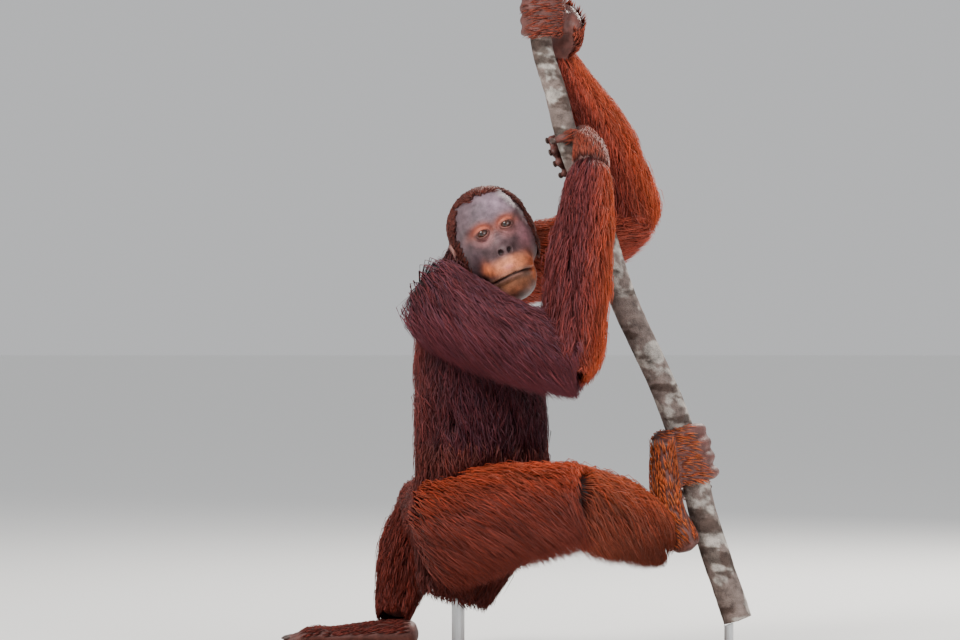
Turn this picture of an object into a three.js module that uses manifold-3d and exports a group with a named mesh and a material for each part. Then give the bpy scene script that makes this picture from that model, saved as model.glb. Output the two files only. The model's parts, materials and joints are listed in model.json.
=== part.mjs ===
// A still, life-size model of a subadult orangutan that squats and climbs on a leaning pole.
// Both hands and the right foot grip the pole, and the left foot stands on the board.
// Units are millimetres. +Z is up, +X is to the viewer's right and -Y is towards the viewer.
// The origin is at the middle of the board's underside.
import * as THREE from "three";
import { mergeVertices } from "three/addons/utils/BufferGeometryUtils.js";
import Module from "manifold-3d";

const wasm = await Module();
wasm.setup();

const v = (x, y, z) => new THREE.Vector3(x, y, z);
const rad = THREE.MathUtils.degToRad;

// The clearance between touching pieces
const GAP = 0.35;

// The stand
const BOARD = { length: 900, width: 430, thickness: 20, corner: 60, edge: 4 };
const BODY_ROD = { radius: 11, foot: v(-88, 0, 0), top: 175 };
const PERCH_ROD = { radius: 8, foot: v(372, 0, 0), top: 150 };

// The pole's axis from its sawn foot to its sawn top, and its radius at even steps
const POLE_AXIS = [
  v(388, 0, 78),
  v(330, 0, 253),
  v(310, 0, 335),
  v(268, 0, 459),
  v(190, 0, 632),
  v(153, 0, 751),
  v(98, 0, 896),
  v(79, 0, 972),
  v(53, 0, 1064),
  v(60, 0, 1206),
];
const POLE_RADII = [25, 24.5, 24, 24, 23, 23.5, 22, 20, 19, 18.5, 19];

// The joints of the body
const SHOULDER_R = v(-124, -118, 628);
const ELBOW_R = v(98, -196, 535);
const WRIST_R = v(135, -62, 852);
const SHOULDER_L = v(-8, 96, 686);
const ELBOW_L = v(208, 144, 776);
const WRIST_L = v(78, 46, 1050);
const HIP_R = v(-112, -76, 246);
const KNEE_R = v(105, -200, 300);
const ANKLE_R = v(246, -58, 246);
const HIP_L = v(-78, 78, 226);
const KNEE_L = v(-146, 286, 258);
const ANKLE_L = v(-200, 172, 86);

// The trunk, from the neck down to the rump: its axis, and its half breadth and half depth at even steps
const TRUNK_AXIS = [
  v(-70, 22, 646),
  v(-76, 8, 606),
  v(-62, 0, 547),
  v(-50, 0, 454),
  v(-48, 0, 369),
  v(-56, 0, 284),
  v(-74, 0, 205),
  v(-88, 0, 150),
];
const TRUNK_GIRTHS = [
  [60, 46],
  [104, 74],
  [118, 92],
  [118, 99],
  [119, 101],
  [116, 98],
  [104, 86],
  [70, 62],
];
const CHEST_FACING = v(0.88, -0.48, 0);
const WAIST_HEIGHT = 300;

// The head: its centre between the ears, and the way its face and crown point
const HEAD_CENTRE = v(-37, -12, 750);
const HEAD_YAW = rad(6);
const HEAD_PITCH = rad(-4);
const HEAD_ROLL = rad(23);
const EYE = { x: 21.5, y: 58, z: -6, radius: 11 };
const LID_THICKNESS = 2.6;
const LID_OPENING = { wide: 10.5, high: 5.6 };
const NOSTRIL = { x: 7.5, y: 88, z: -46, wide: 4.2, high: 5.6, deep: 9 };
const MOUTH = { halfWidth: 38, y: 103, z: -86, backset: 36, droop: 5, groove: 2.2 };
const EAR = { x: 71, y: -10, z: -24, high: 19, wide: 12, thick: 6, cup: 4 };

// Rounded masses of the head in its own frame, with x to its right, y forward and z up
const HEAD_MASSES = [
  { at: [0, -10, 2], radii: [66, 76, 62] },
  { at: [0, 30, 16], radii: [46, 36, 40] },
  { at: [23, 50, 11], radii: [24, 15, 9] },
  { at: [-23, 50, 11], radii: [24, 15, 9] },
  { at: [0, 34, -40], radii: [40, 40, 46] },
  { at: [38, 18, -40], radii: [28, 36, 44] },
  { at: [-38, 18, -40], radii: [28, 36, 44] },
  { at: [0, 54, -76], radii: [41, 46, 29] },
  { at: [0, 44, -106], radii: [36, 46, 29] },
  { at: [0, 4, -98], radii: [46, 44, 38] },
  { at: [0, 76, -44], radii: [13, 13, 11] },
];
const HEAD_BLEND = 15;
const SOCKETS = [
  { at: [21.5, 74, -6], radii: [16, 17, 12] },
  { at: [-21.5, 74, -6], radii: [16, 17, 12] },
];
const SOCKET_BLEND = 9;
const HEAD_CORE = v(0, 14, -28);

const COLOURS = {
  coat: 0x7a3227,
  skin: 0x6f5a5c,
  eye: 0x2a1a12,
  bark: 0x8d857c,
  board: 0x6b4a32,
  steel: 0x9a9da0,
};
const FINISHES = {
  coat: [0.85, 0],
  skin: [0.6, 0],
  eye: [0.1, 0],
  bark: [0.9, 0],
  board: [0.5, 0],
  steel: [0.35, 0.9],
};

// A closed manifold-3d solid of a three.js geometry
function solidOf(geometry) {
  geometry.deleteAttribute("normal");
  geometry.deleteAttribute("uv");
  const merged = mergeVertices(geometry, 1e-3);
  const corners = merged.index.array;
  const kept = [];
  for (let i = 0; i < corners.length; i += 3) {
    const [a, b, c] = [corners[i], corners[i + 1], corners[i + 2]];
    if (a !== b && b !== c && c !== a) kept.push([a, b, c]);
  }
  const make = (triangles) =>
    new wasm.Manifold(
      new wasm.Mesh({
        numProp: 3,
        vertProperties: merged.attributes.position.array,
        triVerts: new Uint32Array(triangles.flat()),
      }),
    );
  const made = make(kept);
  return made.volume() > 0 ? made : make(kept.map((t) => t.toReversed()));
}

// Moves each vertex of a geometry by a function that takes and gives a Vector3
function reshape(geometry, move) {
  const positions = geometry.attributes.position;
  const point = v(0, 0, 0);
  for (let i = 0; i < positions.count; i++) {
    const moved = move(point.fromBufferAttribute(positions, i));
    positions.setXYZ(i, moved.x, moved.y, moved.z);
  }
  return geometry;
}

const joined = (solids) => wasm.Manifold.union(solids);
const largest = (solid) => solid.decompose().sort((a, b) => b.volume() - a.volume())[0];

// A bent tube of oval section along a curve. Its angle 0 lies towards `facing`.
class Limb {
  constructor(points, girths, facing, { caps = [0, 0], sides = 11, rings = 7, capRings = 3 } = {}) {
    this.curve = new THREE.CatmullRomCurve3(points, false, "centripetal");
    this.length = this.curve.getLength();
    const steps = girths.map(([wide, deep]) => v(wide, deep, 0));
    this.girth = new THREE.CatmullRomCurve3(steps, false, "catmullrom", 0.5);
    Object.assign(this, { facing, caps, sides, rings, capRings });
  }

  // The centre, directions and radii at a distance along the curve, straight on past its ends
  frame(along) {
    const share = THREE.MathUtils.clamp(along / this.length, 0, 1);
    const onward = this.curve.getTangentAt(share);
    const centre = this.curve.getPointAt(share).addScaledVector(onward, along - share * this.length);
    const front = this.facing.clone().addScaledVector(onward, -this.facing.dot(onward)).normalize();
    const side = front.clone().cross(onward);
    const { x: wide, y: deep } = this.girth.getPoint(share);
    return { centre, onward, front, side, wide, deep };
  }

  // A point at an angle round the tube, at a height over its surface
  point(along, angle, height = 0, share = 1) {
    const f = this.frame(along);
    return f.centre
      .addScaledVector(f.front, (f.deep + height) * share * Math.cos(angle))
      .addScaledVector(f.side, (f.wide + height) * share * Math.sin(angle));
  }

  solid(grow = 0) {
    const profile = [];
    const [startCap, endCap] = this.caps.map((cap) => cap + grow);
    const bends = Array.from({ length: this.capRings }, (_, i) => (Math.PI * i) / 2 / this.capRings);
    const capAngles = this.caps.map((cap) => (cap > 0 ? bends : [0]));
    capAngles[0].forEach((a) => profile.push([Math.sin(a), -startCap * Math.cos(a)]));
    for (let i = 0; i <= this.rings; i++) {
      const end = i === 0 ? -1 : i === this.rings ? 1 : 0;
      const flat = (end < 0 && !this.caps[0]) || (end > 0 && !this.caps[1]);
      profile.push([1, (this.length * i) / this.rings + (flat ? end * grow : 0)]);
    }
    capAngles[1].toReversed().forEach((a) => profile.push([Math.sin(a), this.length + endCap * Math.cos(a)]));
    const lathe = new THREE.LatheGeometry(
      profile.map(([radius, along]) => new THREE.Vector2(radius, along)),
      this.sides,
    );
    return solidOf(
      reshape(lathe, (p) => this.point(p.y, Math.atan2(p.x, p.z), grow, Math.hypot(p.x, p.z))),
    );
  }
}

// A smooth field that is below 0 inside the head
function massDepth([x, y, z], { at, radii }) {
  const [px, py, pz] = [x - at[0], y - at[1], z - at[2]];
  const far = Math.hypot(px / radii[0], py / radii[1], pz / radii[2]);
  const steep = Math.hypot(px / radii[0] ** 2, py / radii[1] ** 2, pz / radii[2] ** 2);
  return (far * (far - 1)) / Math.max(steep, 1e-6);
}

function blendNear(a, b, blend) {
  const mix = Math.max(blend - Math.abs(a - b), 0) / blend;
  return Math.min(a, b) - mix * mix * blend * 0.25;
}

function headField(point) {
  const masses = HEAD_MASSES.map((mass) => massDepth(point, mass));
  const solid = masses.reduce((a, b) => blendNear(a, b, HEAD_BLEND));
  return SOCKETS.reduce((field, socket) => -blendNear(-field, massDepth(point, socket), SOCKET_BLEND), solid);
}

// The distance from the head's core to its surface, the way that a unit direction points
function headReach(direction) {
  const fieldAt = (reach) => headField(HEAD_CORE.clone().addScaledVector(direction, reach).toArray());
  let outer = 190;
  while (fieldAt(outer) > 0 && outer > 4) outer -= 4;
  let inner = outer;
  outer += 4;
  for (let i = 0; i < 14; i++) {
    const middle = (inner + outer) / 2;
    if (fieldAt(middle) > 0) outer = middle;
    else inner = middle;
  }
  return inner;
}

// The head's own frame: x to its right, y forward, z up
const headFrame = new THREE.Matrix4()
  .makeTranslation(HEAD_CENTRE)
  .multiply(new THREE.Matrix4().makeRotationY(-HEAD_ROLL))
  .multiply(new THREE.Matrix4().makeRotationZ(Math.PI + HEAD_YAW))
  .multiply(new THREE.Matrix4().makeRotationX(HEAD_PITCH));
const inHead = (x, y, z) => v(x, y, z).applyMatrix4(headFrame);

// The rings of the head's mesh start close together at the nose and spread towards the nape
const HEAD_RINGS = 20;
const HEAD_SIDES = 28;
const NOSE_AIM = v(0, 0.93, -0.37).normalize();

function headShell(grow = 0) {
  const sphere = new THREE.SphereGeometry(1, HEAD_SIDES, HEAD_RINGS);
  const turn = new THREE.Quaternion().setFromUnitVectors(v(0, 1, 0), NOSE_AIM);
  return solidOf(
    reshape(sphere, (p) => {
      const polar = Math.acos(THREE.MathUtils.clamp(p.y, -1, 1)) / Math.PI;
      const spread = Math.PI * (0.62 * polar + 0.38 * polar ** 2.2);
      const round = Math.atan2(p.z, p.x);
      const out = Math.sin(spread);
      const direction = v(out * Math.cos(round), Math.cos(spread), out * Math.sin(round));
      direction.applyQuaternion(turn);
      const reach = headReach(direction) + grow;
      return HEAD_CORE.clone().addScaledVector(direction, reach).applyMatrix4(headFrame);
    }),
  );
}

// An oval in the head's frame
function headOval(at, radii, sides = 12, rings = 8) {
  const sphere = new THREE.SphereGeometry(1, sides, rings);
  const [wide, deep, high] = radii;
  return solidOf(reshape(sphere, (p) => inHead(at[0] + p.x * wide, at[1] + p.y * deep, at[2] + p.z * high)));
}

const eyeball = (side, grow = 0) => {
  const radius = EYE.radius + grow;
  return headOval([side * EYE.x, EYE.y, EYE.z], [radius, radius, radius], 10, 8);
};

function mouthGroove() {
  const points = [];
  for (let i = -4; i <= 4; i++) {
    const share = i / 4;
    const bow = share * share;
    points.push(inHead(share * MOUTH.halfWidth, MOUTH.y - MOUTH.backset * bow, MOUTH.z - MOUTH.droop * bow));
  }
  const girths = [
    [3, 0.6],
    [7, MOUTH.groove],
    [7, MOUTH.groove],
    [7, MOUTH.groove],
    [3, 0.6],
  ];
  return new Limb(points, girths, inHead(0, 0, 1).sub(inHead(0, 0, 0)), { sides: 5, rings: 9 }).solid();
}

function head(grow = 0) {
  if (grow) return headShell(grow);
  let made = headShell();
  for (const side of [-1, 1]) {
    const lid = EYE.radius + LID_THICKNESS;
    const middle = [side * EYE.x, EYE.y, EYE.z];
    made = made.add(headOval(middle, [lid, lid, lid], 12, 8));
    const opening = [middle[0], middle[1] + lid, middle[2]];
    made = made.subtract(headOval(opening, [LID_OPENING.wide, lid, LID_OPENING.high], 10, 6));
    made = made.subtract(eyeball(side, GAP));
    const nostril = [side * NOSTRIL.x, NOSTRIL.y, NOSTRIL.z];
    made = made.subtract(headOval(nostril, [NOSTRIL.wide, NOSTRIL.deep, NOSTRIL.high], 7, 5));
  }
  return made.subtract(mouthGroove());
}

function ear(side, grow = 0) {
  const at = [side * EAR.x, EAR.y, EAR.z];
  const rim = headOval(at, [EAR.thick + grow, EAR.wide + grow, EAR.high + grow], 9, 7);
  if (grow) return rim;
  const hollow = [at[0] + side * EAR.thick, at[1] + 1, at[2]];
  return rim.subtract(headOval(hollow, [EAR.thick, EAR.wide - EAR.cup, EAR.high - EAR.cup], 8, 6));
}

const pole = new Limb(
  POLE_AXIS,
  POLE_RADII.map((radius) => [radius, radius]),
  v(0, -1, 0),
  { sides: 9, rings: 13 },
);

// A point at an angle round the pole, where 0 faces the viewer and 90 degrees is on the right,
// at a height over the floor and a distance from the bark
function roundPole(height, degrees, off) {
  const axis = pole.curve.getSpacedPoints(200);
  const away = (i) => Math.abs(axis[i].z - height);
  const near = axis.reduce((best, _, i) => (away(i) < away(best) ? i : best), 0);
  return pole.point((pole.length * near) / 200, rad(-degrees), off);
}

// A finger or toe that leaves its knuckle and winds round the pole
function digit(height, start, end, { radius, lift = 1, tip = 0.72, climb = 0, lead = [] }) {
  const points = [...lead];
  const steps = 5;
  for (let i = 0; i <= steps; i++) {
    const share = i / steps;
    const thin = radius * (1 + (tip - 1) * share);
    points.push(roundPole(height + climb * share, start + (end - start) * share, thin + lift));
  }
  const girths = [radius, radius * 1.04, radius * 0.92, radius * 0.95, radius * 0.82, radius * tip];
  return new Limb(
    points,
    girths.map((r) => [r, r]),
    v(0.3, 0.2, 1),
    { caps: [radius * 0.8, radius * tip], sides: 6, rings: 6, capRings: 2 },
  );
}

const MIDDLE_FINGER = 11;

// The left hand comes round the pole's right side and its fingers cross the front
function leftHand(grow = 0) {
  const knuckle = (i) => roundPole(1136 - 18.5 * i, 84, 15);
  const palm = new Limb(
    [WRIST_L, v(98, 34, 1078), v(104, 12, 1104)],
    [
      [25, 20],
      [36, 19],
      [38, 16],
    ],
    v(0.9, 0.1, 0.4),
    { caps: [14, 14], sides: 8, rings: 3, capRings: 2 },
  );
  const fingers = [0, 1, 2, 3].map((i) =>
    digit(1136 - 18.5 * i, 50, -150 + 12 * Math.abs(i - 1), {
      radius: MIDDLE_FINGER - 0.7 * Math.abs(i - 1),
      lead: [knuckle(i)],
    }),
  );
  const thumb = digit(1122, 150, 228, { radius: 9.5, lead: [v(100, 34, 1094)] });
  return joined([palm, ...fingers, thumb].map((piece) => piece.solid(grow)));
}

// The right hand hooks over the pole's right side, with the fingers behind and the thumb in front
function rightHand(grow = 0) {
  const palm = new Limb(
    [WRIST_R, v(137, -46, 872), v(138, -24, 884)],
    [
      [31, 27],
      [37, 22],
      [38, 18],
    ],
    v(0.8, -0.6, 0.3),
    { caps: [14, 14], sides: 8, rings: 3, capRings: 2 },
  );
  const fingers = [0, 1, 2, 3].map((i) =>
    digit(904 - 18.5 * i, 112, 272 - 12 * Math.abs(i - 1), {
      radius: MIDDLE_FINGER - 0.7 * Math.abs(i - 1),
      lead: [roundPole(898 - 16 * i, 78, 15)],
    }),
  );
  const thumb = digit(900, 22, -48, { radius: 9.5, lead: [v(128, -44, 884)] });
  return joined([palm, ...fingers, thumb].map((piece) => piece.solid(grow)));
}

// The right foot stands along the pole's left side, and its toes cross the front
function rightFoot(grow = 0) {
  const sole = new Limb(
    [v(296, -34, 216), v(272, -36, 262), v(262, -38, 318), v(258, -40, 376)],
    [
      [30, 27],
      [33, 26],
      [38, 24],
      [40, 19],
    ],
    v(-1, 0, -0.3),
    { caps: [20, 14], sides: 8, rings: 5, capRings: 2 },
  );
  const toes = [0, 1, 2, 3].map((i) =>
    digit(328 + 24 * i, -70, 128 - 6 * i, {
      radius: MIDDLE_FINGER + 2.5 - 0.6 * Math.abs(i - 2),
      climb: -6,
      lead: [roundPole(330 + 22 * i, -98, 15)],
    }),
  );
  const bigToe = digit(300, -140, -212, { radius: 9.5, lead: [v(270, -14, 300)] });
  return joined([sole, ...toes, bigToe].map((piece) => piece.solid(grow)));
}

// The left foot stands on the board and points back
function leftFoot(grow = 0) {
  const sole = new Limb(
    [v(-176, 158, 44), v(-226, 164, 43), v(-276, 172, 40), v(-314, 178, 37)],
    [
      [28, 25],
      [31, 24],
      [37, 20],
      [38, 17],
    ],
    v(0, 0, 1),
    { caps: [20, 12], sides: 8, rings: 5, capRings: 2 },
  );
  const toes = [0, 1, 2, 3].map((i) => {
    const [across, long] = [150 + 19 * i, 84 - 5 * Math.abs(i - 1.4)];
    return new Limb(
      [
        v(-306, across, 38),
        v(-306 - long * 0.45, across + 2, 42),
        v(-306 - long * 0.8, across + 4, 34),
        v(-306 - long, across + 5, 30),
      ],
      [
        [12, 12],
        [12.5, 12.5],
        [11, 11],
        [9, 9],
      ],
      v(0, 0, 1),
      { caps: [8, 8], sides: 6, rings: 4, capRings: 2 },
    );
  });
  const bigToe = new Limb(
    [v(-250, 196, 38), v(-268, 222, 33), v(-288, 236, 31)],
    [[11, 11], [11, 11], [9, 9]],
    v(0, 0, 1),
    { caps: [8, 8], sides: 6, rings: 3, capRings: 2 },
  );
  return joined([sole, ...toes, bigToe].map((piece) => piece.solid(grow)));
}

// The limbs that carry the coat, from the body outwards
const trunk = new Limb(TRUNK_AXIS, TRUNK_GIRTHS, CHEST_FACING, { caps: [20, 34], sides: 16, rings: 10 });
const neck = new Limb(
  [v(-74, 22, 636), v(-60, 28, 690), v(-42, 26, 738)],
  [[54, 50], [46, 44], [44, 42]],
  v(1, -0.4, 0),
  { sides: 12, rings: 4 },
);
const upperArmRight = new Limb(
  [SHOULDER_R, v(-16, -166, 572), ELBOW_R],
  [[60, 58], [54, 52], [47, 46]],
  v(0, -1, 0.3),
  { caps: [52, 36] },
);
const forearmRight = new Limb(
  [ELBOW_R, v(116, -142, 690), WRIST_R],
  [[46, 46], [50, 48], [46, 43], [36, 32]],
  v(1, 0, 0),
  { caps: [38, 10] },
);
const upperArmLeft = new Limb(
  [SHOULDER_L, v(110, 126, 714), ELBOW_L],
  [[60, 58], [54, 52], [48, 46]],
  v(0, -1, 0.3),
  { caps: [50, 36] },
);
const forearmLeft = new Limb(
  [ELBOW_L, v(160, 104, 912), WRIST_L],
  [[48, 48], [47, 46], [36, 35], [24, 24]],
  v(1, 0, 0),
  { caps: [38, 10] },
);
const thighRight = new Limb(
  [HIP_R, v(0, -146, 282), KNEE_R],
  [[76, 68], [66, 60], [52, 50]],
  v(0, -1, 0),
  { caps: [44, 34] },
);
const shinRight = new Limb(
  [KNEE_R, v(178, -140, 278), ANKLE_R],
  [[51, 49], [46, 44], [31, 33]],
  v(0, -1, 0.3),
  { caps: [36, 16] },
);
const thighLeft = new Limb(
  [HIP_L, v(-116, 186, 252), KNEE_L],
  [[74, 66], [64, 58], [50, 48]],
  v(-1, 0, 0),
  { caps: [40, 34] },
);
const shinLeft = new Limb(
  [KNEE_L, v(-178, 236, 178), ANKLE_L],
  [[49, 48], [44, 43], [30, 31]],
  v(-1, 0, 0),
  { caps: [34, 14] },
);

// The coat's locks. Each is flat and tapered, grows out of the skin and overlaps the next along the lie.
// start and end are distances along the limb, lie is 1 from its first point to its last and -1 back.
const LOCK_SINK = 9;
const LOCK_THICKNESS = 4.5;
const LOCK_PROFILE = [
  [0, 0],
  [0.25, 1],
  [0.68, 0.85],
  [1, 0],
];
const SEED = 8;
const COATS = {
  torso: {
    limb: trunk, lie: 1, start: 50, end: 225, rows: 2, around: 8,
    length: 175, width: 42, lift: 9, droop: 0,
  },
  pelvis: {
    limb: trunk, lie: 1, start: 385, end: 385, rows: 1, around: 7,
    length: 130, width: 40, lift: 9, droop: 20,
  },
  upper_arm_right: {
    limb: upperArmRight, lie: 1, start: 20, end: 160, rows: 2, around: 5,
    length: 140, width: 30, lift: 9, droop: 24,
  },
  forearm_right: {
    limb: forearmRight, lie: -1, start: 250, end: 100, rows: 2, around: 5,
    length: 140, width: 28, lift: 9, droop: 10,
  },
  upper_arm_left: {
    limb: upperArmLeft, lie: 1, start: 170, end: 170, rows: 1, around: 5,
    length: 105, width: 30, lift: 9, droop: 10,
  },
  forearm_left: {
    limb: forearmLeft, lie: -1, start: 270, end: 105, rows: 2, around: 5,
    length: 140, width: 26, lift: 9, droop: 8,
  },
  thigh_right: {
    limb: thighRight, lie: 1, start: 10, end: 150, rows: 2, around: 5,
    length: 150, width: 36, lift: 9, droop: 44,
  },
  shin_right: {
    limb: shinRight, lie: 1, start: 20, end: 95, rows: 2, around: 5,
    length: 110, width: 25, lift: 8, droop: 48,
  },
  thigh_left: {
    limb: thighLeft, lie: 1, start: 120, end: 120, rows: 1, around: 5,
    length: 130, width: 34, lift: 8, droop: 30,
  },
  shin_left: {
    limb: shinLeft, lie: 1, start: 60, end: 60, rows: 1, around: 5,
    length: 130, width: 26, lift: 8, droop: 0,
  },
};

// A seeded random draw from -1 to 1
let draw = SEED;
function chance() {
  draw = (Math.imul(draw, 1664525) + 1013904223) >>> 0;
  return (draw / 2 ** 31) - 1;
}

// One lock on a limb, from its sunk root to its tip
function lock(limb, { along, angle, lie, length, width, lift, droop }, grow = 0) {
  const { front, side, onward } = limb.frame(along);
  const level = Math.hypot(onward.x, onward.y);
  const under = Math.atan2(-side.z, -front.z);
  const twist = 0.5 * level * Math.sin(under - angle);
  const hang = droop * (0.6 - 0.4 * Math.cos(angle) * front.z - 0.4 * Math.sin(angle) * side.z);
  const centre = (share, extra = 0) => {
    const at = along + lie * length * share;
    const past = Math.max(-at, at - limb.length, 0);
    const height = THREE.MathUtils.lerp(-LOCK_SINK, lift, Math.min(2 * share, 1)) - 0.4 * past + extra;
    return limb.point(at, angle + twist * share, height).add(v(0, 0, -hang * share * share));
  };
  const profile = LOCK_PROFILE.map(([share, size]) => new THREE.Vector2(size, share));
  return solidOf(
    reshape(new THREE.LatheGeometry(profile, 4), (p) => {
      const middle = centre(p.y);
      const out = centre(p.y, 1).sub(middle).normalize();
      const along = centre(p.y + 0.02).sub(centre(p.y - 0.02)).normalize();
      const across = along.clone().cross(out).normalize();
      const end = grow * (p.y === 0 ? -1 : p.y === 1 ? 1 : 0);
      const more = grow / Math.max(Math.hypot(p.x, p.z), 0.1);
      return middle
        .addScaledVector(out, p.z * (LOCK_THICKNESS + more))
        .addScaledVector(across, p.x * (width + more))
        .addScaledVector(along, 4 * end);
    }),
  );
}

// All locks of a node
function locks({ limb, rows, around, start, end, ...shape }) {
  const made = [];
  for (let row = 0; row < rows; row++) {
    for (let i = 0; i < around; i++) {
      const along = THREE.MathUtils.lerp(start, end, rows > 1 ? row / (rows - 1) : 0) + 14 * chance();
      const angle = (2 * Math.PI * (i + (row % 2) / 2 + 0.15 * chance())) / around;
      const length = shape.length * (1 + 0.15 * chance());
      const width = shape.width * (1 + 0.12 * chance());
      made.push({ limb, spec: { ...shape, along, angle, length, width } });
    }
  }
  return made;
}

// A block that is everything above or below the waist
function halfSpace(above) {
  const size = 2000;
  const box = new THREE.BoxGeometry(size, size, size);
  const shift = above ? WAIST_HEIGHT + size / 2 : WAIST_HEIGHT - size / 2;
  return solidOf(box.translate(0, 0, shift + (above ? GAP : -GAP) / 2));
}

function board(grow = 0) {
  const { length, width, corner, thickness, edge } = BOARD;
  const [x, y] = [length / 2 - edge, width / 2 - edge];
  const outline = new THREE.Shape()
    .moveTo(-x + corner, -y)
    .lineTo(x - corner, -y)
    .absarc(x - corner, -y + corner, corner, -Math.PI / 2, 0)
    .lineTo(x, y - corner)
    .absarc(x - corner, y - corner, corner, 0, Math.PI / 2)
    .lineTo(-x + corner, y)
    .absarc(-x + corner, y - corner, corner, Math.PI / 2, Math.PI)
    .lineTo(-x, -y + corner)
    .absarc(-x + corner, -y + corner, corner, Math.PI, 1.5 * Math.PI);
  const slab = new THREE.ExtrudeGeometry(outline, {
    depth: thickness - 2 * edge + grow,
    bevelThickness: edge,
    bevelSize: edge,
    bevelSegments: 1,
    curveSegments: 3,
  });
  return solidOf(slab.translate(0, 0, edge));
}

function rod({ radius, foot, top }, grow = 0) {
  const height = top - BOARD.thickness;
  const cylinder = new THREE.CylinderGeometry(radius + grow, radius + grow, height, 16);
  return solidOf(cylinder.rotateX(Math.PI / 2).translate(foot.x, foot.y, BOARD.thickness + GAP + height / 2));
}

// Each node's plain form and finish. A form is cut clear of the forms above it.
const FORMS = {
  perch_pole: ["bark", (grow) => pole.solid(grow)],
  stand_base: ["board", board],
  eye_left: ["eye", (grow) => eyeball(-1, grow)],
  eye_right: ["eye", (grow) => eyeball(1, grow)],
  head: ["skin", head],
  torso: ["coat", (grow) => trunk.solid(grow).intersect(halfSpace(true))],
  pelvis: ["coat", (grow) => trunk.solid(grow).intersect(halfSpace(false))],
  neck: ["coat", (grow) => neck.solid(grow)],
  ear_left: ["skin", (grow) => ear(-1, grow)],
  ear_right: ["skin", (grow) => ear(1, grow)],
  hand_left: ["skin", leftHand],
  hand_right: ["skin", rightHand],
  foot_left: ["skin", leftFoot],
  foot_right: ["skin", rightFoot],
  thigh_left: ["coat", (grow) => thighLeft.solid(grow)],
  thigh_right: ["coat", (grow) => thighRight.solid(grow)],
  upper_arm_left: ["coat", (grow) => upperArmLeft.solid(grow)],
  upper_arm_right: ["coat", (grow) => upperArmRight.solid(grow)],
  forearm_left: ["coat", (grow) => forearmLeft.solid(grow)],
  forearm_right: ["coat", (grow) => forearmRight.solid(grow)],
  shin_left: ["coat", (grow) => shinLeft.solid(grow)],
  shin_right: ["coat", (grow) => shinRight.solid(grow)],
  stand_rod_body: ["steel", (grow) => rod(BODY_ROD, grow)],
  stand_rod_perch: ["steel", (grow) => rod(PERCH_ROD, grow)],
};

const grown = new Map(Object.entries(FORMS).map(([name, [, form]]) => [name, form(GAP)]));
const solids = new Map();
const clear = [];
for (const [name, [, form]] of Object.entries(FORMS)) {
  const made = form(0);
  solids.set(name, largest(clear.length ? made.subtract(joined(clear)) : made));
  if (name !== "eye_left" && name !== "eye_right") clear.push(grown.get(name));
}

// The locks of each node are cut clear of every other node and of the locks already placed
const placed = [];
for (const [name, coat] of Object.entries(COATS)) {
  const set = locks(coat);
  const others = [...grown].filter(([other]) => other !== name).map(([, solid]) => solid);
  const free = joined(set.map(({ limb, spec }) => lock(limb, spec))).subtract(joined([...others, ...placed]));
  solids.set(name, largest(solids.get(name).add(free)));
  placed.push(joined(set.map(({ limb, spec }) => lock(limb, spec, 3 * GAP))));
}

// A mesh of a solid in its finish
function meshOf(name, solid, slot) {
  const { vertProperties, triVerts } = solid.getMesh();
  const geometry = new THREE.BufferGeometry()
    .setAttribute("position", new THREE.BufferAttribute(vertProperties, 3))
    .setIndex(new THREE.BufferAttribute(triVerts, 1));
  geometry.computeVertexNormals();
  const [roughness, metalness] = FINISHES[slot];
  const material = new THREE.MeshStandardMaterial({ color: COLOURS[slot], roughness, metalness });
  const mesh = new THREE.Mesh(geometry, material);
  mesh.name = name;
  return mesh;
}

const orangutan = new THREE.Group();
for (const [name, [slot]] of Object.entries(FORMS)) orangutan.add(meshOf(name, solids.get(name), slot));
export default orangutan;
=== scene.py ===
"""Looks of the orangutan on its leaning pole.

Sizes are in millimetres until a mesh is made, and then in metres.
"""

import json
import math

import bmesh
import bpy
import numpy as np
from mathutils import Matrix, Vector, noise
from mathutils.bvhtree import BVHTree

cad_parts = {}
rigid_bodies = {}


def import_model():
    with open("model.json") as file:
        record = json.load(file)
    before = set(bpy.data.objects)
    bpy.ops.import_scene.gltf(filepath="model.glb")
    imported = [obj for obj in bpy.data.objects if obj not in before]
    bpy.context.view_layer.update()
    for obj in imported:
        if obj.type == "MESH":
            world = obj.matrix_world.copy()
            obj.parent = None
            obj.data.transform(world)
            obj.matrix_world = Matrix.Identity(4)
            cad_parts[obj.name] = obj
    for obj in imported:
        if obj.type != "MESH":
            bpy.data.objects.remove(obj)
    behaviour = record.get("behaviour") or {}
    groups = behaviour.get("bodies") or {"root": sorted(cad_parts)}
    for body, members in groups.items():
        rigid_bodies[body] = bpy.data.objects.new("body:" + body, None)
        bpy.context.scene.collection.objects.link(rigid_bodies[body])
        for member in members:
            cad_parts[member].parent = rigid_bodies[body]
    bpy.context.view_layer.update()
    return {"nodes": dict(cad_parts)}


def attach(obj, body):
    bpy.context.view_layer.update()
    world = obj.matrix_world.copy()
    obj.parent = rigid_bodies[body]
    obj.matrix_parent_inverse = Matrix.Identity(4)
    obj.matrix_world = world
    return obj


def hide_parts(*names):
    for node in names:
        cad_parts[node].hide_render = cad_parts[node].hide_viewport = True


MM = 0.001
RNG = np.random.default_rng(11)

# The pole, as in the solids
POLE_AXIS = [
    (388, 0, 78),
    (330, 0, 253),
    (310, 0, 335),
    (268, 0, 459),
    (190, 0, 632),
    (153, 0, 751),
    (98, 0, 896),
    (79, 0, 972),
    (53, 0, 1064),
    (60, 0, 1206),
]
POLE_RADII = [25, 24.5, 24, 24, 23, 23.5, 22, 20, 19, 18.5, 19]

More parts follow.
